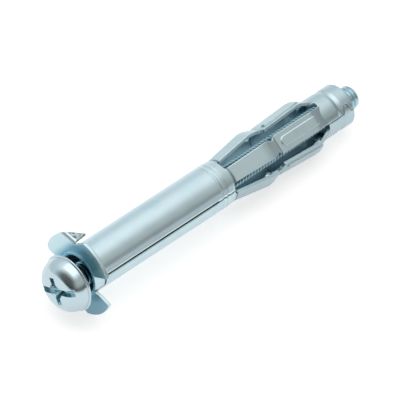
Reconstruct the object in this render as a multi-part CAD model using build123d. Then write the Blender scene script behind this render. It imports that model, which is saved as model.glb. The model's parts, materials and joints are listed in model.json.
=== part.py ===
from build123d import *
from math import cos, degrees, hypot, radians, sin, tan
import os

# A metal hollow wall anchor, in millimetres.
# It is modelled along +X from the front face of its flange, with the tip at +X.
# Clock angles turn about X: 0 is beside the upper claw, and they grow clockwise as seen from the head.
# At the end it is laid on the floor as it comes to rest, with +Z up.

# Sheet and tube
SHEET = 0.65
TUBE_RADIUS = 4.8
TUBE_LENGTH = 38.0
BEND_RADIUS = 0.4
MOUTH_EDGE = 0.25
NECK_DROP = 0.15
NECK_LENGTH = 1.6
GROOVE_DEPTH = 0.18
GROOVE_RADIUS = 0.35
GROOVE_PITCH = 1.2
GROOVE_TO_LEGS = 3.1
GROOVE_COUNT = 2
SEAM_CLOCK = 82.5
SEAM_GAP = 0.36
SEAM_LIP = 0.2
SEAM_LIP_DEPTH = 0.1
SEAM_CLOSED_GAP = 0.14
SEAM_CLOSED_LENGTH = 4.6
TONGUE_LENGTH = 2.5
TONGUE_GAP = 0.55

# Flange of two wings, mirrored about the middle of the gap beside the seam
FLANGE_RADIUS = 8.85
FLANGE_MIDDLE_CLOCK = 88.0
SEAM_SIDE_GAP_ANGLE = 44.0
FAR_SIDE_GAP_ANGLE = 21.0
WING_CORNER = 1.2

# Claws folded back out of the wings
FOLD_OUTER_CLOCK = -33.0
FOLD_INNER_CLOCK = -9.0
FOLD_INNER_RADIUS = 6.85
NOTCH_CLOCK = 11.0
CLAW_LENGTH = 2.35
CLAW_ANGLE = 82.0
CLAW_BEND = 0.2
CLAW_LAP = 0.3

# Legs
LEG_COUNT = 5
LEG_CLOCK = 42.0
LEG_SPAN = 26.3
LEG_SINK = 0.35
LEG_ROOT_WIDTH = 3.25
THIGH_WIDTH = 3.75
SHIN_WIDTH = 4.05
LEG_TIP_WIDTH = 3.9
SLOT_ROOT_CORNER = 0.45
SLOT_TIP_CORNER = 0.3
ROOT_LAP = 0.9
ELBOW_AT = 9.8
ELBOW_RISE = 1.4
ELBOW_BEND = 5.0
HINGE_AT = 12.9
HINGE_RISE = 0.27
HINGE_BEND = 0.9
HINGE_NOTCH_AT = 12.35
HINGE_NOTCH = 0.65
HINGE_NOTCH_BEFORE = 1.5
HINGE_NOTCH_AFTER = 0.7
HINGE_NOTCH_CORNER = 0.4
SHOULDER_AT = 23.0
SHOULDER_RISE = 0.82
SHOULDER_BEND = 2.5
LEG_TIP_DROP = 0.35
PAD_WIDTH = 1.9
PAD_HEIGHT = 0.28
PAD_START = 14.0
PAD_END = 24.0

# Collar at the far end, crimped round the bush
COLLAR_RADIUS = 4.47
COLLAR_LENGTH = 7.0
CRIMP_AT = 3.6
CRIMP_WIDTH = 1.5
CRIMP_DEPTH = 0.28
CRIMP_BEND = 0.9
COLLAR_EDGE = 0.3
COLLAR_SEAM_CLOCK = 71.0
COLLAR_SEAM_GAP = 0.16
TAB_FROM_END = 1.9
TAB_WIDTH = 0.8
TAB_LENGTH = 1.7
TAB_TAPER = 0.6

# Threaded bush inside the collar
BUSH_FIT = 0.02
BUSH_INSET = 0.9
BUSH_PROUD = 0.3
BUSH_CHAMFER = 0.45

# Screw
SCREW_RADIUS = 2.5
SCREW_CLEARANCE = 0.05
SCREW_PROUD = 3.7
TIP_CHAMFER = 0.75
SCREW_DROOP = 0.7
HEAD_GAP = 2.15
HEAD_RADIUS = 6.1
HEAD_RIM = 0.5
HEAD_RIM_EDGE = 0.2
HEAD_STEP = 0.35
HEAD_HEIGHT = 3.85
HEAD_FLAT_RADIUS = 3.0
RECESS_CLOCK = 68.0
SLOT_LENGTH = 9.6
SLOT_WIDTH = 1.35
SLOT_DEPTH = 1.5
CROSS_LENGTH = 6.0
CROSS_WIDTH = 1.25
CROSS_DEPTH = 2.6
CROSS_TAPER = 12.0
RECESS_MOUTH_RADIUS = 1.55
RECESS_FLOOR_RADIUS = 0.7

BEYOND = 1.0

bend_end = SHEET + BEND_RADIUS
leg_pitch = 360 / LEG_COUNT
legs_end = TUBE_LENGTH + LEG_SPAN
sleeve_end = legs_end + COLLAR_LENGTH
root_radius = TUBE_RADIUS - NECK_DROP
shoulder_radius = root_radius + SHOULDER_RISE
bush_start = legs_end + BUSH_INSET
bush_end = sleeve_end + BUSH_PROUD


def on_clock(shape, clock):
    """Turns a shape made at clock 0, along +Y, to its place round the axis."""
    return Rot(X=clock) * shape


def at_clock(radius, clock):
    """The point of the flange's front plane at a radius and a clock angle."""
    return Vector(0, radius * cos(radians(clock)), radius * sin(radians(clock)))


def sheet_section(corners, bends, thickness=SHEET):
    """The sheet's section inside a line of corners with rounded bends, drawn with Y outwards."""
    outside = FilletPolyline(*corners, radius=bends)
    return make_face(offset(outside, thickness, side=Side.RIGHT).edges())


def ring_sector(start, end, inner, outer, clock, angle):
    """A block round the axis between two radii, from a clock angle on."""
    middle = Pos((start + end) / 2, (inner + outer) / 2)
    section = middle * Rectangle(end - start, outer - inner)
    return on_clock(revolve(section, Axis.X, angle), clock)


def outwards(plan, clock, start=0.0, end=FLANGE_RADIUS + BEYOND):
    """A prism out from the axis, of a plan drawn with X along the axis and Y across it."""
    across = Plane(origin=(0, start, 0), x_dir=(1, 0, 0), z_dir=(0, 1, 0))
    return on_clock(extrude(across * plan, end - start), clock)


def mirrored(shape):
    """The same shape on the other wing."""
    normal = at_clock(1, FLANGE_MIDDLE_CLOCK + 90)
    return mirror(shape, about=Plane(origin=(0, 0, 0), z_dir=normal))


def tube():
    """Flange disc, bend pressed nearly square inside, and plain tube to the legs' roots, before the cuts."""
    corners = [
        (SHEET, FLANGE_RADIUS),
        (SHEET, TUBE_RADIUS),
        (TUBE_LENGTH - NECK_LENGTH, TUBE_RADIUS),
        (TUBE_LENGTH, root_radius),
        (TUBE_LENGTH + ROOT_LAP, root_radius),
    ]
    bends = [BEND_RADIUS, NECK_LENGTH, NECK_LENGTH]
    pressed = Pos(bend_end / 2, TUBE_RADIUS - SHEET / 2) * Rectangle(bend_end, SHEET)
    section = sheet_section(corners, bends) + pressed
    mouth = section.vertices().sort_by_distance((0, TUBE_RADIUS - SHEET))[0]
    wall = revolve(fillet(mouth, MOUTH_EDGE), Axis.X)
    for i in range(GROOVE_COUNT):
        along = TUBE_LENGTH - GROOVE_TO_LEGS + i * GROOVE_PITCH
        away = TUBE_RADIUS + GROOVE_RADIUS - GROOVE_DEPTH
        wall -= revolve(Pos(along, away) * Circle(GROOVE_RADIUS), Axis.X)
    return wall


def wedge(clock, angle):
    """A wedge of the flange's plane from the axis out, drawn with Y and Z as the sketch's two axes."""
    reach = (FLANGE_RADIUS + BEYOND) / cos(radians(angle / 2))
    ends = [at_clock(reach, clock + side * angle / 2) for side in (-1, 1)]
    return make_face(Polyline((0, 0), *[(end.Y, end.Z) for end in ends], close=True))


def around_wings():
    """What the flange's disc loses round its two wings, whose corners are rounded beside the far gap."""
    far_clock = FLANGE_MIDDLE_CLOCK + 180
    wings = Circle(FLANGE_RADIUS) - Circle(TUBE_RADIUS)
    wings -= wedge(FLANGE_MIDDLE_CLOCK, SEAM_SIDE_GAP_ANGLE)
    wings -= wedge(far_clock, FAR_SIDE_GAP_ANGLE)
    far_gap = at_clock(FLANGE_RADIUS, far_clock)
    corners = wings.vertices().sort_by_distance((far_gap.Y, far_gap.Z))[:2]
    lost = Circle(FLANGE_RADIUS + BEYOND) - Circle(TUBE_RADIUS) - fillet(corners, WING_CORNER)
    return extrude(Plane.YZ.offset(-BEYOND) * lost, BEYOND + bend_end)


def seam():
    """The open joint of the rolled sheet: a stepped line round the tongue, then straight to a slot."""
    tongue_clock = FLANGE_MIDDLE_CLOCK + SEAM_SIDE_GAP_ANGLE / 2
    tongue_end = TONGUE_LENGTH + TONGUE_GAP
    open_end = TUBE_LENGTH - SEAM_CLOSED_LENGTH
    wall = (TUBE_RADIUS - SHEET - BEYOND, TUBE_RADIUS + BEYOND)
    front = Pos(tongue_end / 2 - BEYOND / 2) * Rectangle(tongue_end + BEYOND, SEAM_GAP)
    closed = Rectangle(SEAM_CLOSED_LENGTH + SLOT_ROOT_CORNER, SEAM_CLOSED_GAP)
    closed_middle = open_end + SEAM_CLOSED_LENGTH / 2
    section = Plane.YZ.offset(TONGUE_LENGTH) * seam_section(*wall)
    cut = outwards(front, tongue_clock, *wall)
    cut += ring_sector(TONGUE_LENGTH, tongue_end, *wall, SEAM_CLOCK, tongue_clock - SEAM_CLOCK)
    cut += on_clock(extrude(section, open_end - TONGUE_LENGTH), SEAM_CLOCK)
    cut += outwards(Pos(closed_middle) * closed, SEAM_CLOCK, *wall)
    return cut


def seam_section(inner, outer):
    """The open seam across the wall, between lips that are rounded off."""
    half = SEAM_GAP / 2
    bottom = TUBE_RADIUS - SEAM_LIP_DEPTH
    flared = half + (outer - bottom) * SEAM_LIP / SEAM_LIP_DEPTH
    side = [(inner, half), (bottom, half), (outer, flared)]
    other = [(away, -across) for away, across in reversed(side)]
    return make_face(Polyline(*side, *other, close=True))


def fold_line():
    """The outer and inner ends of the claw's fold, on the flange's front plane."""
    return at_clock(FLANGE_RADIUS, FOLD_OUTER_CLOCK), at_clock(FOLD_INNER_RADIUS, FOLD_INNER_CLOCK)


def notch():
    """What the flange loses outside the claw's fold and its shear cut."""
    outer, inner = fold_line()
    far = FLANGE_RADIUS + 2 * BEYOND
    corners = [
        outer,
        inner,
        at_clock(FLANGE_RADIUS, NOTCH_CLOCK),
        at_clock(far, NOTCH_CLOCK),
        at_clock(far, (FOLD_OUTER_CLOCK + NOTCH_CLOCK) / 2),
        at_clock(far, FOLD_OUTER_CLOCK),
    ]
    block = extrude(make_face(Polyline(*corners, close=True)), 2 * SHEET, dir=(1, 0, 0))
    return Pos(X=-SHEET / 2) * block


def claw():
    """A pointed claw: the sheet bent back about the fold line and cut off from its root to its tip."""
    outer, inner = fold_line()
    fold = inner - outer
    outward = fold.normalized().cross(Vector(1, 0, 0))
    across = Plane(origin=inner, x_dir=outward, z_dir=fold * -1)
    leg = (SHEET + CLAW_BEND) * tan(radians(CLAW_ANGLE / 2))
    heading = Vector(cos(radians(CLAW_ANGLE)), sin(radians(CLAW_ANGLE)))
    corner = Vector(leg, 0)
    end = corner + heading * (leg + CLAW_LENGTH)
    front = FilletPolyline((-CLAW_LAP, 0), corner, end, radius=SHEET + CLAW_BEND)
    section = make_face(offset(front, SHEET, side=Side.LEFT).edges())
    strip = extrude(across * section, fold.length)
    tip = across.from_local_coords(end)
    edge = tip - outer
    through = across.from_local_coords(end + Vector(-heading.Y, heading.X)) - tip
    trim = Plane(origin=outer, x_dir=edge, z_dir=edge.cross(through))
    inner_side = Keep.TOP if trim.to_local_coords(inner).Z > 0 else Keep.BOTTOM
    return split(strip, bisect_by=trim, keep=inner_side)


def leg():
    """One leg at clock 0: a flat strip out to the elbow, in to the hinge and along to the shoulder."""
    root = root_radius - LEG_SINK
    corners = [
        (TUBE_LENGTH + ROOT_LAP / 2, root),
        (TUBE_LENGTH + ELBOW_AT, root + ELBOW_RISE),
        (TUBE_LENGTH + HINGE_AT, root_radius + HINGE_RISE),
        (TUBE_LENGTH + SHOULDER_AT, shoulder_radius),
        (legs_end, COLLAR_RADIUS - LEG_TIP_DROP),
    ]
    side = extrude(sheet_section(corners, [ELBOW_BEND, HINGE_BEND, SHOULDER_BEND]), SHIN_WIDTH, both=True)
    pad = side & outwards(pad_plan(), 0)
    strip = side & outwards(leg_plan(), 0)
    strip += Pos(Y=PAD_HEIGHT) * pad
    strip -= Pos(Y=PAD_HEIGHT - SHEET) * pad
    return strip


def legs():
    """All the legs in their places round the axis."""
    one = leg()
    return [on_clock(one, LEG_CLOCK + i * leg_pitch) for i in range(LEG_COUNT)]


def pad_plan():
    """The embossed pad, seen from outside."""
    middle = TUBE_LENGTH + (PAD_START + PAD_END) / 2
    return Pos(middle) * SlotOverall(PAD_END - PAD_START, PAD_WIDTH)


def leg_plan():
    """The leg seen from outside: it widens from its root, is notched at the hinge and narrows to the tip."""
    notch = TUBE_LENGTH + HINGE_NOTCH_AT
    notch_start = notch - HINGE_NOTCH_BEFORE
    notch_end = notch + HINGE_NOTCH_AFTER
    half = [
        (TUBE_LENGTH, LEG_ROOT_WIDTH / 2),
        (notch_start, THIGH_WIDTH / 2),
        (notch, THIGH_WIDTH / 2 - HINGE_NOTCH),
        (notch_end, SHIN_WIDTH / 2),
        (TUBE_LENGTH + SHOULDER_AT, SHIN_WIDTH / 2),
        (legs_end, LEG_TIP_WIDTH / 2),
    ]
    other = [(along, -across) for along, across in reversed(half)]
    plan = make_face(Polyline(*half, *other, close=True))
    notch_corners = plan.vertices().filter_by_position(Axis.X, notch_start, notch_end)
    return fillet(notch_corners, HINGE_NOTCH_CORNER)


def slots():
    """The ends of the slots between the legs, in the tube and in the collar, rounded at their corners."""
    between = 2 * sin(radians(leg_pitch / 2))
    root_gap = between * TUBE_RADIUS - LEG_ROOT_WIDTH
    tip_gap = between * COLLAR_RADIUS - LEG_TIP_WIDTH
    root = Pos(TUBE_LENGTH + ROOT_LAP) * RectangleRounded(2 * ROOT_LAP, root_gap, SLOT_ROOT_CORNER)
    tip = Pos(legs_end - ROOT_LAP) * RectangleRounded(2 * ROOT_LAP, tip_gap, SLOT_TIP_CORNER)
    clocks = [LEG_CLOCK + (i + 0.5) * leg_pitch for i in range(LEG_COUNT)]
    return [outwards(end, clock, SCREW_RADIUS) for clock in clocks for end in (root, tip)]


def crimped_ring(start, thickness):
    """A turned ring inside the collar's outline, with the crimp rolled into it."""
    crimp = legs_end + CRIMP_AT
    corners = [
        (start, COLLAR_RADIUS),
        (crimp - CRIMP_WIDTH / 2, COLLAR_RADIUS),
        (crimp, COLLAR_RADIUS - CRIMP_DEPTH),
        (crimp + CRIMP_WIDTH / 2, COLLAR_RADIUS),
        (sleeve_end, COLLAR_RADIUS),
    ]
    return revolve(sheet_section(corners, [CRIMP_BEND] * 3, thickness), Axis.X)


def collar():
    """The closed ring that joins the legs and grips the bush."""
    ring = crimped_ring(legs_end - ROOT_LAP, SHEET)
    rims = ring.edges().filter_by(GeomType.CIRCLE).filter_by_position(Axis.X, sleeve_end, sleeve_end)
    return fillet(rims.sort_by(SortBy.RADIUS)[-1], COLLAR_EDGE)


def collar_seam():
    """The joint of the collar, stepped round a tapered tab, from the slot to the end."""
    tab = TAB_LENGTH / 2
    middle = sleeve_end - TAB_FROM_END
    half = TAB_WIDTH / 2
    line = Polyline(
        (legs_end - SLOT_TIP_CORNER, -tab),
        (middle - half - TAB_TAPER, -tab),
        (middle - half, tab),
        (middle + half, tab),
        (middle + half + TAB_TAPER, -tab),
        (sleeve_end + BEYOND, -tab),
    )
    tab_clock = COLLAR_SEAM_CLOCK - degrees(tab / COLLAR_RADIUS)
    wall = (COLLAR_RADIUS - SHEET - BEYOND, COLLAR_RADIUS + BEYOND)
    return outwards(trace(line, COLLAR_SEAM_GAP), tab_clock, *wall)


def expansion_sleeve():
    """The whole rolled sheet: flange, claws, tube, legs and collar."""
    sheet = tube() - around_wings()
    sheet -= notch()
    sheet -= mirrored(notch())
    sheet += [claw(), mirrored(claw())]
    sheet += collar()
    sheet -= slots()
    sheet += legs()
    sheet -= seam()
    sheet -= collar_seam()
    return sheet


def threaded_bush():
    """The nut that the collar holds, with its bore clear of the screw's threads."""
    length = bush_end - bush_start
    bore = SCREW_RADIUS + SCREW_CLEARANCE
    wall = COLLAR_RADIUS - SHEET - BUSH_FIT - bore
    section = Pos(bush_start + length / 2, bore + wall / 2) * Rectangle(length, wall)
    outer_corners = section.vertices().sort_by(Axis.Y)[-2:]
    blank = revolve(chamfer(outer_corners, BUSH_CHAMFER), Axis.X)
    return blank - crimped_ring(bush_start - BEYOND, SHEET + BUSH_FIT)


def screw_head():
    """Pan head with a thin rim round its bearing face, at the head end of the axis."""
    under = -HEAD_GAP
    top = under - HEAD_HEIGHT
    shoulder = under - HEAD_RIM
    crown_radius = HEAD_RADIUS - HEAD_STEP
    outline = Polyline((under, 0), (under, HEAD_RADIUS), (shoulder, HEAD_RADIUS), (shoulder, crown_radius))
    dome = EllipticalCenterArc(
        (shoulder, HEAD_FLAT_RADIUS),
        HEAD_HEIGHT - HEAD_RIM,
        crown_radius - HEAD_FLAT_RADIUS,
        start_angle=90,
        arc_size=90,
    )
    flat = Polyline((top, HEAD_FLAT_RADIUS), (top, 0), (under, 0))
    head = revolve(make_face(outline.edges() + dome.edges() + flat.edges()), Axis.X)
    rim = head.edges().filter_by(GeomType.CIRCLE).filter_by(lambda e: e.radius > HEAD_RADIUS - HEAD_STEP / 2)
    return fillet(rim, HEAD_RIM_EDGE)


def driver_recess():
    """A long slot across the head and a deeper cross that narrows inwards."""
    top = -HEAD_GAP - HEAD_HEIGHT
    face = Plane(origin=(top, 0, 0), x_dir=(0, 1, 0), z_dir=(1, 0, 0))
    slot = extrude(face * Rectangle(SLOT_LENGTH, SLOT_WIDTH), SLOT_DEPTH)
    arms = Rectangle(CROSS_LENGTH, CROSS_WIDTH) + Rectangle(CROSS_WIDTH, CROSS_LENGTH)
    cross = extrude(face * arms, CROSS_DEPTH, taper=CROSS_TAPER)
    seated = (Align.CENTER, Align.CENTER, Align.MIN)
    cone = Cone(RECESS_MOUTH_RADIUS, RECESS_FLOOR_RADIUS, CROSS_DEPTH, align=seated)
    return on_clock(slot + cross + face * cone, RECESS_CLOCK)


def machine_screw():
    """Head and shank, through the whole sleeve and out of the bush, on the sleeve's own axis."""
    end = sleeve_end + SCREW_PROUD
    length = end + HEAD_GAP + HEAD_RIM
    section = Pos(end - length / 2, SCREW_RADIUS / 2) * Rectangle(length, SCREW_RADIUS)
    tip = section.vertices().filter_by_position(Axis.X, end, end).sort_by(Axis.Y)[-1]
    shank = revolve(chamfer(tip, TIP_CHAMFER), Axis.X)
    return screw_head() + shank - driver_recess()


def at_rest():
    """Lies on the lower notch's corner, the root of the lower claw and the shoulder of a leg."""
    corner = Vector(SHEET) + at_clock(FLANGE_RADIUS, 2 * FLANGE_MIDDLE_CLOCK - NOTCH_CLOCK)
    root = max(mirrored(claw()).vertices(), key=lambda v: hypot(v.Y, v.Z)).center()
    down = corner + root - Vector(corner.X + root.X)
    shins = [v for leg in legs() for v in leg.vertices() if v.X > TUBE_LENGTH + HINGE_AT]
    shoulder = max(shins, key=lambda v: v.center().dot(down)).center()
    up = (shoulder - corner).cross(root - corner)
    ground = Plane(origin=corner, x_dir=(1, 0, 0), z_dir=up if up.dot(down) < 0 else up * -1)
    return ground.location.inverse()


def hung(rest):
    """How the loose screw hangs in the bush at rest: tipped about the bush's middle, its head down."""
    floor = rest.inverse()
    down = (floor * Pos(Z=-1)).position - floor.position
    side = Vector(1, 0, 0).cross(down)
    middle = (bush_start + bush_end) / 2
    heading = Vector(middle + HEAD_GAP) - side.cross(Vector(1, 0, 0)).normalized() * SCREW_DROOP
    level = Plane(origin=(middle, 0, 0), x_dir=(1, 0, 0), z_dir=side)
    tipped = Plane(origin=(middle, 0, 0), x_dir=heading, z_dir=side)
    return tipped.location * level.location.inverse()


def main():
    rest = at_rest()
    nodes = {
        "expansion_sleeve": expansion_sleeve(),
        "threaded_bush": threaded_bush(),
        "machine_screw": hung(rest) * machine_screw(),
    }
    placed = {name: rest * shape for name, shape in nodes.items()}
    box = Compound(list(placed.values())).bounding_box()
    origin = Pos(-box.center().X, -box.center().Y, -box.min.Z)
    os.makedirs("parts", exist_ok=True)
    for name, shape in placed.items():
        export_step(origin * shape, f"parts/{name}.step")


main()
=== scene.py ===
import json
from math import cos, pi, radians, sin

import bmesh
import bpy
from mathutils import Matrix, Vector


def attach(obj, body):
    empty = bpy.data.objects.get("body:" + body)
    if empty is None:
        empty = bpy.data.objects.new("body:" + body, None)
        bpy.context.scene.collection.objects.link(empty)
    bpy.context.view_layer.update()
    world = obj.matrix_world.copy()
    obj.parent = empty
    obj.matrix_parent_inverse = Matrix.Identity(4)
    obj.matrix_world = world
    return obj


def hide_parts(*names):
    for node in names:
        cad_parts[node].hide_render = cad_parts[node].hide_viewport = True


# A metal hollow wall anchor: a slit, flanged sleeve with a machine screw through it.
# New pieces are drawn in the anchor's own frame, in millimetres: X runs along the axis from the front
# of the flange towards the tip, and clock angles turn about it from Y, clockwise as seen from the head.

MM = 0.001

# Meshes: points closer than this are merged, on the thread too, and edges sharper than this angle stay sharp
MERGE = 1e-4
THREAD_MERGE = 1e-3
SMOOTH_ANGLE = 35.0

# Places along the axis, and the flange seat's clock angle
TUBE_MIDDLE = 19.0
FLANGE_BACK = 0.65
FLANGE_SEAT_CLOCK = 40.0
BUSH_MIDDLE = 68.4
HEAD_UNDERSIDE = -2.15
SCREW_END = 75.0

# Screw head, and its driver recess of a slot over a tapered cross
HEAD_RADIUS = 6.1
HEAD_RIM = 0.5
HEAD_RIM_EDGE = 0.2
RIM_STEPS = 3
HEAD_CROWN_RADIUS = 5.75
HEAD_HEIGHT = 3.85
HEAD_FLAT_RADIUS = 3.0
HEAD_STEPS = 96
DOME_STEPS = 12
RECESS_CLOCK = 68.0
SLOT_SIZE = (9.6, 1.35)
SLOT_DEPTH = 1.5
CROSS_SIZE = (6.0, 1.25)
CROSS_DEPTH = 2.6
CROSS_FLOOR = 0.62
CONE_MOUTH_RADIUS = 1.55
CONE_FLOOR_RADIUS = 0.7
CONE_STEPS = 32

# Neck under the head, sunk into the head and over the thread's start
NECK_RADIUS = 2.3
NECK_SUNK = 0.3
NECK_OVERLAP = 0.1
NECK_STEPS = 48

# Thread: its crest and root are flat for these lengths of the pitch
PITCH = 0.8
MAJOR_RADIUS = 2.49
MINOR_RADIUS = 2.03
THREAD_START = -1.2
THREAD_STEPS = 28
CREST = 0.12
ROOT = 0.16
TIP_CHAMFER = 0.7

# Camera, fitted to the photograph
CAMERA_PLACE = (-0.701980, -0.732928, 0.991904)
CAMERA_RIGHT = (0.71239, -0.70161, -0.01550)
CAMERA_UP = (0.49731, 0.48913, 0.71655)
CAMERA_LENS = 654.79
SENSOR = 36.0
CLIP = (0.01, 20)

# Room: its level, and its colours by height before and behind the anchor, and towards its dark side
ROOM_LEVEL = 1.35
ROOM_FRONT = (
    (0.0, (0.05, 0.05, 0.05)),
    (0.15, (0.09, 0.09, 0.09)),
    (0.32, (0.38, 0.37, 0.35)),
    (0.5, (0.51, 0.50, 0.46)),
    (0.7, (0.45, 0.44, 0.42)),
    (0.84, (0.90, 0.87, 0.84)),
    (1.0, (1.0, 0.97, 0.94)),
)
ROOM_BACK = (
    (0.5, (0.62, 0.64, 0.65)),
    (0.7, (0.76, 0.76, 0.76)),
    (0.86, (0.93, 0.90, 0.87)),
    (1.0, (1.0, 0.97, 0.94)),
)
ROOM_SIDES = (-0.3, 0.5)
DARK_SIDE = (-0.86, -0.16, 0.48)
ROOM_DARK = ((0.62, (1.0, 1.0, 1.0)), (0.9, (0.22, 0.21, 0.2)))
FLOOR_COLOUR = (0.6, 0.6, 0.6, 1)
FLOOR_LIFT = 0.62
FLOOR_SIZE = 4

# Zinc plate: scale and detail of each pattern, the limits between which it shows, and its relief
CLOUD_NOISE = (260, 4)
CLOUD_EDGES = (0.4, 0.68)
GRAIN_NOISE = (5200, 3)
GRAIN_EDGES = (0.3, 0.7)
GRAIN_DRAWN = (0.05, 1, 1)
PIT_NOISE = (2600, 2)
RELIEF_HEIGHT = 0.00003

# Edges, rounded in the shading, and given a painted highlight where the rounding turns the face and it looks
# outwards
EDGE_ROUND = 0.2
THREAD_EDGE_ROUND = 0.0
ROUND_SAMPLES = 6
EDGE_TURNED = (0.985, 0.9)
EDGE_OUTWARD = (0.2, 0.5)
EDGE_HIGHLIGHT_TINT = (1.4, 1.32, 1.26, 1)
EDGE_HIGHLIGHT_TINTS = ((0.42, (1.8, 1.75, 1.7)), (0.6, EDGE_HIGHLIGHT_TINT[:3]))

# A painted tint of the plate, standing for light, shade or a reflection, holds where every step of its place
# has passed from its first limit to its second: how far along, how far from the axis, and which way the face
# looks. A ramp of tints, painted lighter or darker by side, runs from the upper wing to the lower one.
WING_CLOCK = 130.0
BLEND = 0.1

# Flange's front: a painted reflection, blue and pale by turns from wing to wing, with a second ramp of
# painted shade from the mouth outwards
FLANGE_RADIUS = 8.85
MOUTH_RADIUS = 4.15
FRONT_FACING = (0.8, 0.95)
FRONT_ALONG = (0.4, 0.2)
FRONT_REFLECTION_TINT = (
    (0.13, (1.0, 1.0, 1.0)),
    (0.22, (0.46, 0.62, 0.69)),
    (0.34, (0.72, 0.95, 1.0)),
    (0.6, (1.25, 1.4, 1.3)),
    (0.8, (0.37, 0.52, 0.61)),
    (1.0, (0.40, 0.56, 0.64)),
)
MOUTH_SHADE_TINT = (
    (0.0, (0.58, 0.82, 0.94)),
    (0.5, (0.95, 1.0, 1.0)),
    (1.0, (1.0, 1.0, 1.0)),
)

# Claws: painted shade, broken by a speckled pattern, and darker painted shade on their cut backs
CLAW_START = (0.7, 0.8)
CLAW_END = (6.0, 5.0)
CLAW_RADIUS = (5.6, 5.8)
CLAW_NOISE = (1900, 2)
CLAW_SHADE_TINTS = ((0.42, (0.16, 0.17, 0.17)), (0.58, (0.6, 0.6, 0.58)))
CUT_FACING = (-0.2, -0.4)
CLAW_BACK_SHADE = (0.22, 0.25, 0.26, 1)

# Inside of the sleeve, and the cut sides of its legs: painted shade, darker towards the lower wing, and a
# lighter, bluer painted reflection towards the upper one
LINING_FACING = (-0.3, -0.5)
CLAW_SPARED = (0.5, 0.2)
SIDE_FACING = (0.5, 0.2)
SIDE_ALONG = (3.2, 3.5)
SIDE_BESIDE = (1.15, 1.25)
SIDE_RADIUS = (6.9, 6.6)
DEEP_ALONG = (3.0, 9.0)
INSIDE_SHADE_TINT = ((0.36, (0.95, 1.1, 1.15)), (0.62, (0.45, 0.56, 0.59)))
INSIDE_ROUGHNESS = 0.55

# Outside of the legs and the collar, with painted shade darker towards the lower wing, and painted shade in
# the creases where the legs fold
LEG_CLOCK = 42.0
LEG_PITCH = 72.0
OUTSIDE_FACING = (0.3, 0.5)
LEG_SPAN = (37.9, 62.3)
LEG_SHADE_TINT = (
    (0.2, (0.83, 0.87, 0.87)),
    (0.44, (0.88, 0.88, 0.88)),
    (0.56, (0.88, 0.88, 0.88)),
    (0.8, (0.76, 0.76, 0.76)),
)
COLLAR_SHADE_TINT = ((0.4, (0.87, 0.87, 0.87)), (0.75, (0.76, 0.77, 0.77)))
CREASES = ((38.1, 38.9), (50.75, 51.15))
CREASE_SHADE_TINT = (0.35, 0.40, 0.42, 1)

# Seam, by distance round the tube: painted shade on the lip above it, a painted highlight along that lip
# where its burr catches the light, and painted shade in the dark line of the gap
SEAM_CLOCK = 82.5
SEAM_SPAN = (3.4, 37.6)
LIP = (-1.6, -0.75, -0.3)
LIP_SHADE_TINT = (0.66, 0.66, 0.66, 1)
BURR = (-0.52, -0.36, -0.2)
BURR_HIGHLIGHT_TINT = (1.3, 1.2, 1.14, 1)
SEAM_LINE = (-0.26, 0.03, 0.32)
SEAM_SHADE_TINT = (0.2, 0.26, 0.28, 1)

# Head: a painted reflection in its recess, inside the dome and above the rim, and painted light on its
# underside
HEAD_COLOUR = (0.50, 0.62, 0.67, 1)
INSIDE_DOME = (0.97, 0.88)
ABOVE_RIM = (-0.1, -0.2)
RECESS_REFLECTION_TINT = (0.95, 1.05, 1.06, 1)
UNDERSIDE_FACING = (-0.9, -0.95)
UNDERSIDE_LIGHT_TINT = (1.5, 1.5, 1.45, 1)

# Thread inside the sleeve, in painted shade, and its roots in darker painted shade
THREAD_ALONG = (72.0, 71.6)
THREAD_SHADE_TINT = (0.62, 0.8, 0.86, 1)
ROOT_RADIUS = (2.41, 2.15)
ROOT_SHADE_TINT = (0.22, 0.27, 0.3, 1)


def anchor_place(record):
    """The turn and shift from the anchor's own frame to the row's, in metres."""
    mounts = {mount["name"]: mount for mount in record["mounts"]}
    along = Vector(mounts["barrel"]["axis"]).normalized()
    flange = Vector(mounts["barrel"]["pos_m"]) - along * TUBE_MIDDLE * MM
    beside = Vector(mounts["flange_seat"]["pos_m"]) - flange - along * FLANGE_BACK * MM
    return framed(flange, along, beside) @ on_clock(-FLANGE_SEAT_CLOCK)


def screw_place(record, anchor):
    """The same for the screw, which hangs a little askew in the bush."""
    turn = record["behaviour"]["joints"][0]
    along = Vector(turn["axis"]).normalized()
    start = Vector(turn["pos_m"]) - along * BUSH_MIDDLE * MM
    return framed(start, along, anchor.col[1].to_3d())


def framed(start, along, beside):
    """A frame in metres, for sizes in millimetres: X is along, and Y is on the side of beside."""
    third = along.cross(beside).normalized()
    turn = Matrix((along, third.cross(along), third)).transposed().to_4x4()
    return Matrix.Translation(start) @ turn @ Matrix.Scale(MM, 4)


def on_clock(clock):
    """A turn about the axis."""
    return Matrix.Rotation(radians(clock), 4, "X")


def finished(bm, name, place):
    """A mesh object at the origin, with its place in its mesh."""
    bmesh.ops.remove_doubles(bm, verts=bm.verts, dist=MERGE)
    bmesh.ops.recalc_face_normals(bm, faces=bm.faces)
    bmesh.ops.transform(bm, matrix=place, verts=bm.verts)
    mesh = bpy.data.meshes.new(name)
    bm.to_mesh(mesh)
    bm.free()
    mesh.shade_smooth()
    mesh.set_sharp_from_angle(angle=radians(SMOOTH_ANGLE))
    piece = bpy.data.objects.new(name, mesh)
    bpy.context.scene.collection.objects.link(piece)
    return piece


def spun(outline, steps):
    """A solid of revolution about X from an outline of (along, radius) points."""
    bm = bmesh.new()
    verts = [bm.verts.new((along, radius, 0)) for along, radius in outline]
    edges = [bm.edges.new(pair) for pair in zip(verts, verts[1:])]
    bmesh.ops.spin(
        bm,
        geom=verts + edges,
        cent=(0, 0, 0),
        axis=(1, 0, 0),
        angle=2 * pi,
        steps=steps,
        use_merge=True,
    )
    bmesh.ops.remove_doubles(bm, verts=bm.verts, dist=MERGE)
    bmesh.ops.recalc_face_normals(bm, faces=bm.faces)
    return bm


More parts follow.
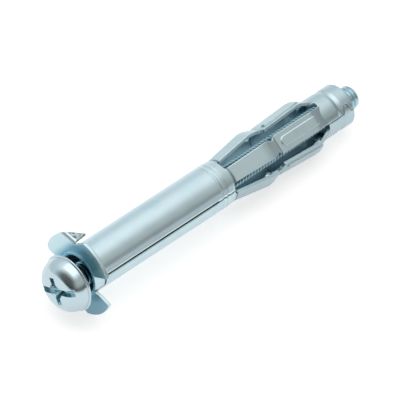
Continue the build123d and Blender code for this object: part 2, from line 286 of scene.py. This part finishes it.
def head_outline():
    """Half of the pan head's section, from the middle of its underside over the dome to its top."""
    under = HEAD_UNDERSIDE
    shoulder = under - HEAD_RIM
    top = under - HEAD_HEIGHT
    outline = [(under, 0), (under, HEAD_RADIUS - HEAD_RIM_EDGE)]
    for i in range(1, RIM_STEPS + 1):
        turn = radians(90 * i / RIM_STEPS)
        outline.append(
            (under - HEAD_RIM_EDGE * (1 - cos(turn)), HEAD_RADIUS - HEAD_RIM_EDGE * (1 - sin(turn)))
        )
    for i in range(RIM_STEPS + 1):
        turn = radians(90 * i / RIM_STEPS)
        outline.append(
            (shoulder + HEAD_RIM_EDGE * (1 - sin(turn)), HEAD_RADIUS - HEAD_RIM_EDGE * (1 - cos(turn)))
        )
    outline.append((shoulder, HEAD_CROWN_RADIUS))
    for i in range(1, DOME_STEPS + 1):
        turn = radians(90 * i / DOME_STEPS)
        radius = HEAD_FLAT_RADIUS + (HEAD_CROWN_RADIUS - HEAD_FLAT_RADIUS) * cos(turn)
        outline.append((shoulder - (HEAD_HEIGHT - HEAD_RIM) * sin(turn), radius))
    return outline + [(top, 0)]


def block(bm, length, width, depth, floor_share=1.0):
    """A block sunk into the head's top, whose floor may be smaller than its mouth."""
    made = bmesh.ops.create_cube(bm, size=1)["verts"]
    above = 1.0
    for v in made:
        deep = v.co.x > 0
        share = floor_share if deep else 1 + (1 - floor_share) * above / depth
        v.co.y *= length * share
        v.co.z *= width * share
        v.co.x = HEAD_UNDERSIDE - HEAD_HEIGHT + (depth if deep else -above)
    return made


def recess_cutter():
    """The driver recess: a long slot, and a deeper cross that narrows inwards."""
    bm = bmesh.new()
    block(bm, *SLOT_SIZE, SLOT_DEPTH)
    block(bm, *CROSS_SIZE, CROSS_DEPTH, CROSS_FLOOR)
    turned = block(bm, *CROSS_SIZE, CROSS_DEPTH, CROSS_FLOOR)
    bmesh.ops.rotate(bm, verts=turned, matrix=Matrix.Rotation(pi / 2, 3, "X"), cent=(0, 0, 0))
    top = HEAD_UNDERSIDE - HEAD_HEIGHT
    cone = bmesh.ops.create_cone(
        bm,
        cap_ends=True,
        segments=CONE_STEPS,
        radius1=CONE_MOUTH_RADIUS,
        radius2=CONE_FLOOR_RADIUS,
        depth=CROSS_DEPTH,
    )["verts"]
    bmesh.ops.rotate(bm, verts=cone, matrix=Matrix.Rotation(pi / 2, 3, "Y"), cent=(0, 0, 0))
    bmesh.ops.translate(bm, verts=cone, vec=(top + CROSS_DEPTH / 2, 0, 0))
    bmesh.ops.recalc_face_normals(bm, faces=bm.faces)
    return bm


def cut_away(piece, cutter):
    """Takes what the cutter covers off the piece."""
    modifier = piece.modifiers.new("cut", "BOOLEAN")
    modifier.object = cutter
    modifier.operation = "DIFFERENCE"
    modifier.solver = "EXACT"
    modifier.use_self = True
    depsgraph = bpy.context.evaluated_depsgraph_get()
    cut = bpy.data.meshes.new_from_object(piece.evaluated_get(depsgraph))
    piece.modifiers.clear()
    piece.data = cut
    bpy.data.objects.remove(cutter)


def threaded_shank():
    """The shank: one turn's groove spun into a helix, trimmed flat at both ends and chamfered at the tip."""
    bm = bmesh.new()
    flank = (PITCH - CREST - ROOT) / 2
    first = THREAD_START - PITCH
    groove = [
        (first, MINOR_RADIUS),
        (first + flank, MAJOR_RADIUS),
        (first + flank + CREST, MAJOR_RADIUS),
        (first + 2 * flank + CREST, MINOR_RADIUS),
        (first + PITCH, MINOR_RADIUS),
    ]
    verts = [bm.verts.new((along, radius, 0)) for along, radius in groove]
    edges = [bm.edges.new(pair) for pair in zip(verts, verts[1:])]
    turns = int((SCREW_END - first) / PITCH) + 2
    bmesh.ops.spin(
        bm,
        geom=verts + edges,
        cent=(0, 0, 0),
        axis=(1, 0, 0),
        dvec=(PITCH / THREAD_STEPS, 0, 0),
        angle=2 * pi * turns,
        steps=THREAD_STEPS * turns,
    )
    bmesh.ops.remove_doubles(bm, verts=bm.verts, dist=THREAD_MERGE)
    for along, facing in ((THREAD_START, -1), (SCREW_END, 1)):
        bmesh.ops.bisect_plane(
            bm,
            geom=bm.verts[:] + bm.edges[:] + bm.faces[:],
            plane_co=(along, 0, 0),
            plane_no=(facing, 0, 0),
            clear_outer=True,
        )
        rim = [e for e in bm.edges if e.is_boundary and abs(e.verts[0].co.x - along) < MERGE]
        bmesh.ops.edgeloop_fill(bm, edges=rim)
    for v in bm.verts:
        out = Vector((v.co.y, v.co.z))
        widest = MAJOR_RADIUS - TIP_CHAMFER + SCREW_END - v.co.x
        if out.length > widest:
            v.co.yz = out * (widest / out.length)
    return bm


def put(tree, value, socket):
    """Gives a socket a value or another node's output."""
    if isinstance(value, bpy.types.NodeSocket):
        tree.links.new(value, socket)
    else:
        socket.default_value = value


def math(tree, operation, *values):
    """The result of a calculation with numbers."""
    node = tree.nodes.new("ShaderNodeMath")
    node.operation = operation
    for value, socket in zip(values, node.inputs):
        put(tree, value, socket)
    return node.outputs["Value"]


def vectors(tree, operation, *values):
    """The results of a calculation with directions and places."""
    node = tree.nodes.new("ShaderNodeVectorMath")
    node.operation = operation
    for value, socket in zip(values, node.inputs):
        put(tree, value, socket)
    return node.outputs


def step(tree, value, start, end):
    """0 before the start, 1 past the end, and smooth between them."""
    node = tree.nodes.new("ShaderNodeMapRange")
    node.interpolation_type = "SMOOTHSTEP"
    for given, name in ((value, "Value"), (start, "From Min"), (end, "From Max")):
        put(tree, given, node.inputs[name])
    return node.outputs["Result"]


def mixed(tree, share, first, second, blend="MIX"):
    """Two colours mixed, by the second's share."""
    node = tree.nodes.new("ShaderNodeMix")
    node.data_type = "RGBA"
    node.blend_type = blend
    for given, name in ((share, "Factor"), (first, "A"), (second, "B")):
        put(tree, given, node.inputs[name])
    return node.outputs["Result"]


def tinted(tree, share, colour, tint):
    """A colour multiplied by a tint, by the tint's share."""
    return mixed(tree, share, colour, tint, "MULTIPLY")


def noise(tree, place, scale, detail):
    """A cloudy pattern."""
    node = tree.nodes.new("ShaderNodeTexNoise")
    node.inputs["Scale"].default_value = scale
    node.inputs["Detail"].default_value = detail
    tree.links.new(place, node.inputs["Vector"])
    return node.outputs["Fac"]


def ramp(tree, value, stops):
    """A colour that follows a value through stops of (value, colour)."""
    node = tree.nodes.new("ShaderNodeValToRGB")
    elements = node.color_ramp.elements
    for element, (at, _) in zip(elements, (stops[0], stops[-1])):
        element.position = at
    for at, _ in stops[1:-1]:
        elements.new(at)
    for element, (_, colour) in zip(elements, stops):
        element.color = (*colour, 1)
    tree.links.new(value, node.inputs["Fac"])
    return node.outputs["Color"]


def sockets(group, side, *wanted):
    """A group's named sockets, on its input or its output side."""
    for name, kind, *start in wanted:
        socket = group.interface.new_socket(name=name, in_out=side, socket_type="NodeSocket" + kind)
        if start:
            socket.default_value = start[0]


def zinc_group():
    """Zinc plate: colour that clouds a little, a fine grain drawn along the piece, and small pits."""
    group = bpy.data.node_groups.new("zinc_plate", "ShaderNodeTree")
    sockets(
        group,
        "INPUT",
        ("Colour", "Color", (0.55, 0.70, 0.76, 1)),
        ("Cloud Colour", "Color", (0.48, 0.64, 0.71, 1)),
        ("Cloud", "Float", 0.5),
        ("Roughness", "Float", 0.34),
        ("Roughness Spread", "Float", 0.03),
        ("Grain", "Float", 0.1),
        ("Pits", "Float", 0.3),
    )
    sockets(group, "OUTPUT", ("Colour", "Color"), ("Roughness", "Float"), ("Height", "Float"))
    given = group.nodes.new("NodeGroupInput").outputs
    result = group.nodes.new("NodeGroupOutput").inputs
    place = group.nodes.new("ShaderNodeTexCoord").outputs["Object"]
    clouds = noise(group, place, *CLOUD_NOISE)
    cloud = math(group, "MULTIPLY", step(group, clouds, *CLOUD_EDGES), given["Cloud"])
    put(group, mixed(group, cloud, given["Colour"], given["Cloud Colour"]), result["Colour"])
    drawn = vectors(group, "MULTIPLY", place, GRAIN_DRAWN)["Vector"]
    grain = noise(group, drawn, *GRAIN_NOISE)
    uneven = math(group, "MULTIPLY_ADD", step(group, grain, *GRAIN_EDGES), 2, -1)
    rough = math(group, "MULTIPLY_ADD", uneven, given["Roughness Spread"], given["Roughness"])
    put(group, rough, result["Roughness"])
    pits = math(group, "MULTIPLY", noise(group, place, *PIT_NOISE), given["Pits"])
    put(group, math(group, "MULTIPLY_ADD", grain, given["Grain"], pits), result["Height"])
    return group


def zones_group(place):
    """Where a point lies on a piece, in its own millimetres, and which way its face looks."""
    group = bpy.data.node_groups.new("zones", "ShaderNodeTree")
    sockets(group, "INPUT", ("Facing", "Vector"))
    outputs = ("Along", "Radius", "Clock", "Wing", "Beside", "Outward", "Forward")
    sockets(group, "OUTPUT", *[(name, "Float") for name in outputs])
    result = group.nodes.new("NodeGroupOutput").inputs
    point = group.nodes.new("ShaderNodeTexCoord").outputs["Object"]
    facing = group.nodes.new("NodeGroupInput").outputs["Facing"]
    parts = []
    for vector, start, scale in ((point, place.to_translation(), MM), (facing, Vector(), 1)):
        turned = group.nodes.new("ShaderNodeMapping")
        turned.vector_type = "TEXTURE"
        turned.inputs["Location"].default_value = start
        turned.inputs["Rotation"].default_value = place.to_euler()
        turned.inputs["Scale"].default_value = (scale, scale, scale)
        put(group, vector, turned.inputs["Vector"])
        apart = group.nodes.new("ShaderNodeSeparateXYZ")
        put(group, turned.outputs["Vector"], apart.inputs["Vector"])
        parts.append([apart.outputs[axis] for axis in "XYZ"])
    (x, y, z), (normal_x, normal_y, normal_z) = parts
    radius = math(group, "SQRT", math(group, "MULTIPLY_ADD", y, y, math(group, "MULTIPLY", z, z)))
    clock = math(group, "SUBTRACT", math(group, "ARCTAN2", z, y), radians(LEG_CLOCK))
    from_leg = math(group, "PINGPONG", clock, radians(LEG_PITCH / 2))
    wing = radians(WING_CLOCK)
    towards_wing = math(group, "MULTIPLY_ADD", y, cos(wing), math(group, "MULTIPLY", z, sin(wing)))
    facing_out = math(group, "MULTIPLY_ADD", normal_y, y, math(group, "MULTIPLY", normal_z, z))
    put(group, x, result["Along"])
    put(group, radius, result["Radius"])
    put(group, clock, result["Clock"])
    put(group, towards_wing, result["Wing"])
    put(group, math(group, "MULTIPLY", radius, math(group, "SINE", from_leg)), result["Beside"])
    put(group, math(group, "DIVIDE", facing_out, radius), result["Outward"])
    put(group, math(group, "MULTIPLY", normal_x, -1), result["Forward"])
    return group


def both(tree, *shares):
    """The share where all the given ones hold."""
    result = shares[0]
    for share in shares[1:]:
        result = math(tree, "MULTIPLY", result, share)
    return result


def line(tree, value, start, middle, end):
    """1 at the middle of a stretch, falling to 0 at its ends."""
    return both(tree, step(tree, value, start, middle), step(tree, value, end, middle))


def sleeve_painted_light(tree, at, edge_highlight, colour, roughness):
    """The sleeve's plate with painted light: a blue painted reflection on the flange's front, painted shade
    and a duller roughness inside, painted shade on the claws, legs and collar and in creases, painted
    highlights on its edges, and the seam's painted lines.
    """
    along, radius, outward, forward = (at[name] for name in ("Along", "Radius", "Outward", "Forward"))
    wing = math(tree, "MULTIPLY_ADD", at["Wing"], 0.5 / FLANGE_RADIUS, 0.5)
    front = both(tree, step(tree, forward, *FRONT_FACING), step(tree, along, *FRONT_ALONG))
    width = FLANGE_RADIUS - MOUTH_RADIUS
    from_mouth = math(tree, "MULTIPLY_ADD", radius, 1 / width, -MOUTH_RADIUS / width)
    # Painted reflection on the flange's front, darkened by painted shade towards the mouth
    front_reflection = tinted(tree, 1.0, ramp(tree, wing, FRONT_REFLECTION_TINT), ramp(tree, from_mouth, MOUTH_SHADE_TINT))
    colour = tinted(tree, front, colour, front_reflection)
    claw = both(
        tree,
        step(tree, along, *CLAW_START),
        step(tree, along, *CLAW_END),
        step(tree, radius, *CLAW_RADIUS),
    )
    place = tree.nodes.new("ShaderNodeTexCoord").outputs["Object"]
    # Painted shade on the claws, broken by a speckled pattern, and darker painted shade on their backs
    colour = tinted(tree, claw, colour, ramp(tree, noise(tree, place, *CLAW_NOISE), CLAW_SHADE_TINTS))
    colour = tinted(tree, both(tree, claw, step(tree, forward, *CUT_FACING)), colour, CLAW_BACK_SHADE)
    side = both(
        tree,
        step(tree, outward, *SIDE_FACING),
        step(tree, along, *SIDE_ALONG),
        step(tree, at["Beside"], *SIDE_BESIDE),
        step(tree, radius, *SIDE_RADIUS),
    )
    lining = both(tree, step(tree, outward, *LINING_FACING), step(tree, claw, *CLAW_SPARED))
    inside = math(tree, "MAXIMUM", side, lining)
    deep = both(tree, inside, step(tree, along, *DEEP_ALONG))
    # Painted shade inside the sleeve and on the legs' cut sides, with a lighter, bluer painted reflection
    # towards the upper wing
    colour = tinted(tree, deep, colour, ramp(tree, wing, INSIDE_SHADE_TINT))
    start, end = LEG_SPAN
    outside = step(tree, outward, *OUTSIDE_FACING)
    leg = both(tree, outside, step(tree, along, start, start + BLEND), step(tree, along, end, end - BLEND))
    # Painted shade on the legs and the collar, darker towards the lower wing
    colour = tinted(tree, leg, colour, ramp(tree, wing, LEG_SHADE_TINT))
    collar = both(tree, outside, step(tree, along, end - BLEND, end))
    colour = tinted(tree, collar, colour, ramp(tree, wing, COLLAR_SHADE_TINT))
    # Painted shade in the creases
    for start, end in CREASES:
        colour = tinted(tree, line(tree, along, start, (start + end) / 2, end), colour, CREASE_SHADE_TINT)
    # Painted highlights on the edges
    colour = tinted(tree, edge_highlight, colour, ramp(tree, wing, EDGE_HIGHLIGHT_TINTS))
    dull = math(tree, "SUBTRACT", INSIDE_ROUGHNESS, roughness)
    return with_seam(tree, at, colour), math(tree, "MULTIPLY_ADD", inside, dull, roughness)


def with_seam(tree, at, colour):
    """The tube's colour with the painted shade and painted highlight beside its seam, and the painted shade
    along it.
    """
    along = at["Along"]
    from_seam = math(tree, "SUBTRACT", at["Clock"], radians(SEAM_CLOCK - LEG_CLOCK))
    from_seam = math(tree, "MULTIPLY", from_seam, at["Radius"])
    start, end = SEAM_SPAN
    tube = both(tree, step(tree, along, start - BLEND, start), step(tree, along, end + BLEND, end))
    # Painted shade on the lip, a painted highlight on its burr, and painted shade in the seam's line
    for span, tint in ((LIP, LIP_SHADE_TINT), (BURR, BURR_HIGHLIGHT_TINT), (SEAM_LINE, SEAM_SHADE_TINT)):
        colour = tinted(tree, both(tree, tube, line(tree, from_seam, *span)), colour, tint)
    return colour


def head_painted_light(tree, at, edge_highlight, colour, roughness):
    """The screw head's plate, with a painted reflection in the recess, inside the dome's ellipse, and painted
    light on its underside.
    """
    rise = math(tree, "ADD", at["Along"], HEAD_RIM - HEAD_UNDERSIDE)
    rise = math(tree, "DIVIDE", rise, HEAD_HEIGHT - HEAD_RIM)
    reach = math(tree, "MAXIMUM", math(tree, "SUBTRACT", at["Radius"], HEAD_FLAT_RADIUS), 0.0)
    reach = math(tree, "DIVIDE", reach, HEAD_CROWN_RADIUS - HEAD_FLAT_RADIUS)
    dome = math(tree, "MULTIPLY_ADD", rise, rise, math(tree, "MULTIPLY", reach, reach))
    recess = both(tree, step(tree, dome, *INSIDE_DOME), step(tree, rise, *ABOVE_RIM))
    # Painted reflection in the recess
    colour = tinted(tree, recess, colour, RECESS_REFLECTION_TINT)
    # Painted light on the underside
    underside = step(tree, at["Forward"], *UNDERSIDE_FACING)
    return tinted(tree, underside, colour, UNDERSIDE_LIGHT_TINT), roughness


def thread_painted_shade(tree, at, edge_highlight, colour, roughness):
    """The thread's plate, with painted shade: darker inside the sleeve than at its open end, and darkest in
    its roots.
    """
    inside = step(tree, at["Along"], *THREAD_ALONG)
    root = step(tree, at["Radius"], *ROOT_RADIUS)
    # Painted shade on the thread inside the sleeve, darkest in its roots
    colour = tinted(tree, inside, colour, THREAD_SHADE_TINT)
    return tinted(tree, both(tree, inside, root), colour, ROOT_SHADE_TINT), roughness


def bush_painted_highlight(tree, at, edge_highlight, colour, roughness):
    """The bush's plate, with painted highlights on its edges."""
    return tinted(tree, edge_highlight, colour, EDGE_HIGHLIGHT_TINT), roughness


def zinc(name, group, zones, plate_and_painted_light, bump, edge_round=EDGE_ROUND, **values):
    """A metal material on the zinc plate group, with light and shade painted into its colour by place, and
    its edges rounded in the shading.
    """
    material = bpy.data.materials.new(name)
    material.use_nodes = True
    tree = material.node_tree
    shader = tree.nodes["Principled BSDF"]
    shader.inputs["Metallic"].default_value = 1
    plate = tree.nodes.new("ShaderNodeGroup")
    plate.node_tree = group
    for key, value in values.items():
        plate.inputs[key].default_value = value
    rounded = tree.nodes.new("ShaderNodeBevel")
    rounded.samples = ROUND_SAMPLES
    rounded.inputs["Radius"].default_value = edge_round * MM
    flat = tree.nodes.new("ShaderNodeNewGeometry").outputs["Normal"]
    at, at_edge = (tree.nodes.new("ShaderNodeGroup") for _ in range(2))
    at.node_tree = at_edge.node_tree = zones
    put(tree, tree.nodes.new("ShaderNodeTexCoord").outputs["Normal"], at.inputs["Facing"])
    put(tree, rounded.outputs["Normal"], at_edge.inputs["Facing"])
    kept = vectors(tree, "DOT_PRODUCT", rounded.outputs["Normal"], flat)["Value"]
    # Mask for the painted edge highlights: where the rounding turns the face and it looks outwards
    outward = step(tree, at_edge.outputs["Outward"], *EDGE_OUTWARD)
    edge_highlight = both(tree, step(tree, kept, *EDGE_TURNED), outward)
    colour, roughness = plate_and_painted_light(tree, at.outputs, edge_highlight, plate.outputs["Colour"], plate.outputs["Roughness"])
    put(tree, colour, shader.inputs["Base Color"])
    put(tree, roughness, shader.inputs["Roughness"])
    relief = tree.nodes.new("ShaderNodeBump")
    relief.inputs["Strength"].default_value = bump
    relief.inputs["Distance"].default_value = RELIEF_HEIGHT
    put(tree, plate.outputs["Height"], relief.inputs["Height"])
    put(tree, rounded.outputs["Normal"], relief.inputs["Normal"])
    put(tree, relief.outputs["Normal"], shader.inputs["Normal"])
    return material


def floor_material():
    """White paper: it shows white to the camera and in the metal, and keeps the anchor's shadow."""
    material = bpy.data.materials.new("white_floor")
    material.use_nodes = True
    tree = material.node_tree
    shader = tree.nodes["Principled BSDF"]
    shader.inputs["Base Color"].default_value = FLOOR_COLOUR
    shader.inputs["Roughness"].default_value = 1
    shader.inputs["Specular IOR Level"].default_value = 0
    ray = tree.nodes.new("ShaderNodeLightPath").outputs
    seen = math(tree, "MAXIMUM", ray["Is Camera Ray"], ray["Is Glossy Ray"])
    seen = math(tree, "MAXIMUM", seen, ray["Is Transmission Ray"])
    shader.inputs["Emission Color"].default_value = (1, 1, 1, 1)
    put(tree, math(tree, "MULTIPLY", seen, FLOOR_LIFT), shader.inputs["Emission Strength"])
    return material


def floor():
    """The floor that the anchor lies on."""
    bm = bmesh.new()
    bmesh.ops.create_grid(bm, x_segments=1, y_segments=1, size=FLOOR_SIZE)
    mesh = bpy.data.meshes.new("floor")
    bm.to_mesh(mesh)
    bm.free()
    piece = bpy.data.objects.new("floor", mesh)
    bpy.context.scene.collection.objects.link(piece)
    piece.data.materials.append(floor_material())


def softbox(name, place, aim, size, power):
    """A rectangular lamp that faces a point."""
    light = bpy.data.lights.new(name, "AREA")
    light.shape = "RECTANGLE"
    light.size, light.size_y = size
    light.energy = power
    lamp = bpy.data.objects.new(name, light)
    lamp.location = place
    lamp.rotation_euler = (Vector(aim) - Vector(place)).to_track_quat("-Z", "Y").to_euler()
    bpy.context.scene.collection.objects.link(lamp)


def studio():
    """A plain room, bright overhead and behind the anchor, and dark low down in front of it."""
    world = bpy.data.worlds.new("room")
    bpy.context.scene.world = world
    world.use_nodes = True
    tree = world.node_tree
    back = tree.nodes["Background"]
    back.inputs["Strength"].default_value = ROOM_LEVEL
    where = tree.nodes.new("ShaderNodeTexCoord").outputs["Generated"]
    apart = tree.nodes.new("ShaderNodeSeparateXYZ")
    put(tree, where, apart.inputs["Vector"])
    height = apart.outputs["Z"]
    behind = step(tree, apart.outputs["Y"], *ROOM_SIDES)
    room = mixed(tree, behind, ramp(tree, height, ROOM_FRONT), ramp(tree, height, ROOM_BACK))
    facing = vectors(tree, "DOT_PRODUCT", where, Vector(DARK_SIDE).normalized())["Value"]
    room = tinted(tree, 1.0, room, ramp(tree, facing, ROOM_DARK))
    put(tree, room, back.inputs["Color"])
    softbox("top_softbox", place=(0.1, 0.0, 0.9), aim=(0, 0, 0), size=(0.9, 0.7), power=1.0)


def photo_camera():
    """The photograph's camera."""
    data = bpy.data.cameras.new("camera")
    data.sensor_width = SENSOR
    data.lens = CAMERA_LENS
    data.clip_start, data.clip_end = CLIP
    camera = bpy.data.objects.new("camera", data)
    right, up = Vector(CAMERA_RIGHT), Vector(CAMERA_UP)
    turn = Matrix((right, up, right.cross(up))).transposed().to_4x4()
    camera.matrix_world = Matrix.Translation(CAMERA_PLACE) @ turn
    bpy.context.scene.collection.objects.link(camera)
    bpy.context.scene.camera = camera


def coated(piece, material):
    """Gives a piece one material all over."""
    piece.data.materials.clear()
    piece.data.materials.append(material)


def machine_screw(place, material, thread_material):
    """Head and threaded shank in place of the plain screw."""
    head = finished(spun(head_outline(), HEAD_STEPS), "screw_head", Matrix())
    cutter = finished(recess_cutter(), "recess_cutter", on_clock(RECESS_CLOCK))
    cut_away(head, cutter)
    head.data.transform(place)
    head.data.shade_smooth()
    head.data.set_sharp_from_angle(angle=radians(SMOOTH_ANGLE))
    shank = finished(threaded_shank(), "screw_thread", place)
    neck_outline = [
        (HEAD_UNDERSIDE - NECK_SUNK, 0),
        (HEAD_UNDERSIDE - NECK_SUNK, NECK_RADIUS),
        (THREAD_START + NECK_OVERLAP, NECK_RADIUS),
        (THREAD_START + NECK_OVERLAP, 0),
    ]
    neck = finished(spun(neck_outline, NECK_STEPS), "screw_neck", place)
    for piece, plate_and_painted_light in ((head, material), (shank, thread_material), (neck, thread_material)):
        coated(piece, plate_and_painted_light)
        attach(piece, "screw")
        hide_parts("machine_screw")


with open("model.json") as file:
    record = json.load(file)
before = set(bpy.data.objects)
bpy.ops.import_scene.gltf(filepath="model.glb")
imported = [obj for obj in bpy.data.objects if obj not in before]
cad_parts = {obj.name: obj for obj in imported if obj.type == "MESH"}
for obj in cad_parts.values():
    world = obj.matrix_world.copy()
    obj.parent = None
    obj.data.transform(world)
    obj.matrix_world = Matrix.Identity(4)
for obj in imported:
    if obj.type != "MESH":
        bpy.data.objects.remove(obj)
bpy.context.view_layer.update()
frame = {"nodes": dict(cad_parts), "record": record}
bpy.context.scene.view_settings.view_transform = "Standard"
anchor = anchor_place(frame["record"])
plate = zinc_group()
screw = screw_place(frame["record"], anchor)
zones, screw_zones = zones_group(anchor), zones_group(screw)
sleeve_zinc = zinc("sleeve_zinc", plate, zones, sleeve_painted_light, bump=0.1)
bush_zinc = zinc("bush_zinc", plate, zones, bush_painted_highlight, bump=0.08)
head_zinc = zinc(
    "head_zinc", plate, screw_zones, head_painted_light, bump=0.08, Roughness=0.2, Colour=HEAD_COLOUR
)
thread_zinc = zinc(
    "thread_zinc",
    plate,
    screw_zones,
    thread_painted_shade,
    bump=0.08,
    edge_round=THREAD_EDGE_ROUND,
    Roughness=0.3,
)
coated(frame["nodes"]["expansion_sleeve"], sleeve_zinc)
coated(frame["nodes"]["threaded_bush"], bush_zinc)
machine_screw(screw, head_zinc, thread_zinc)
floor()
studio()
photo_camera()
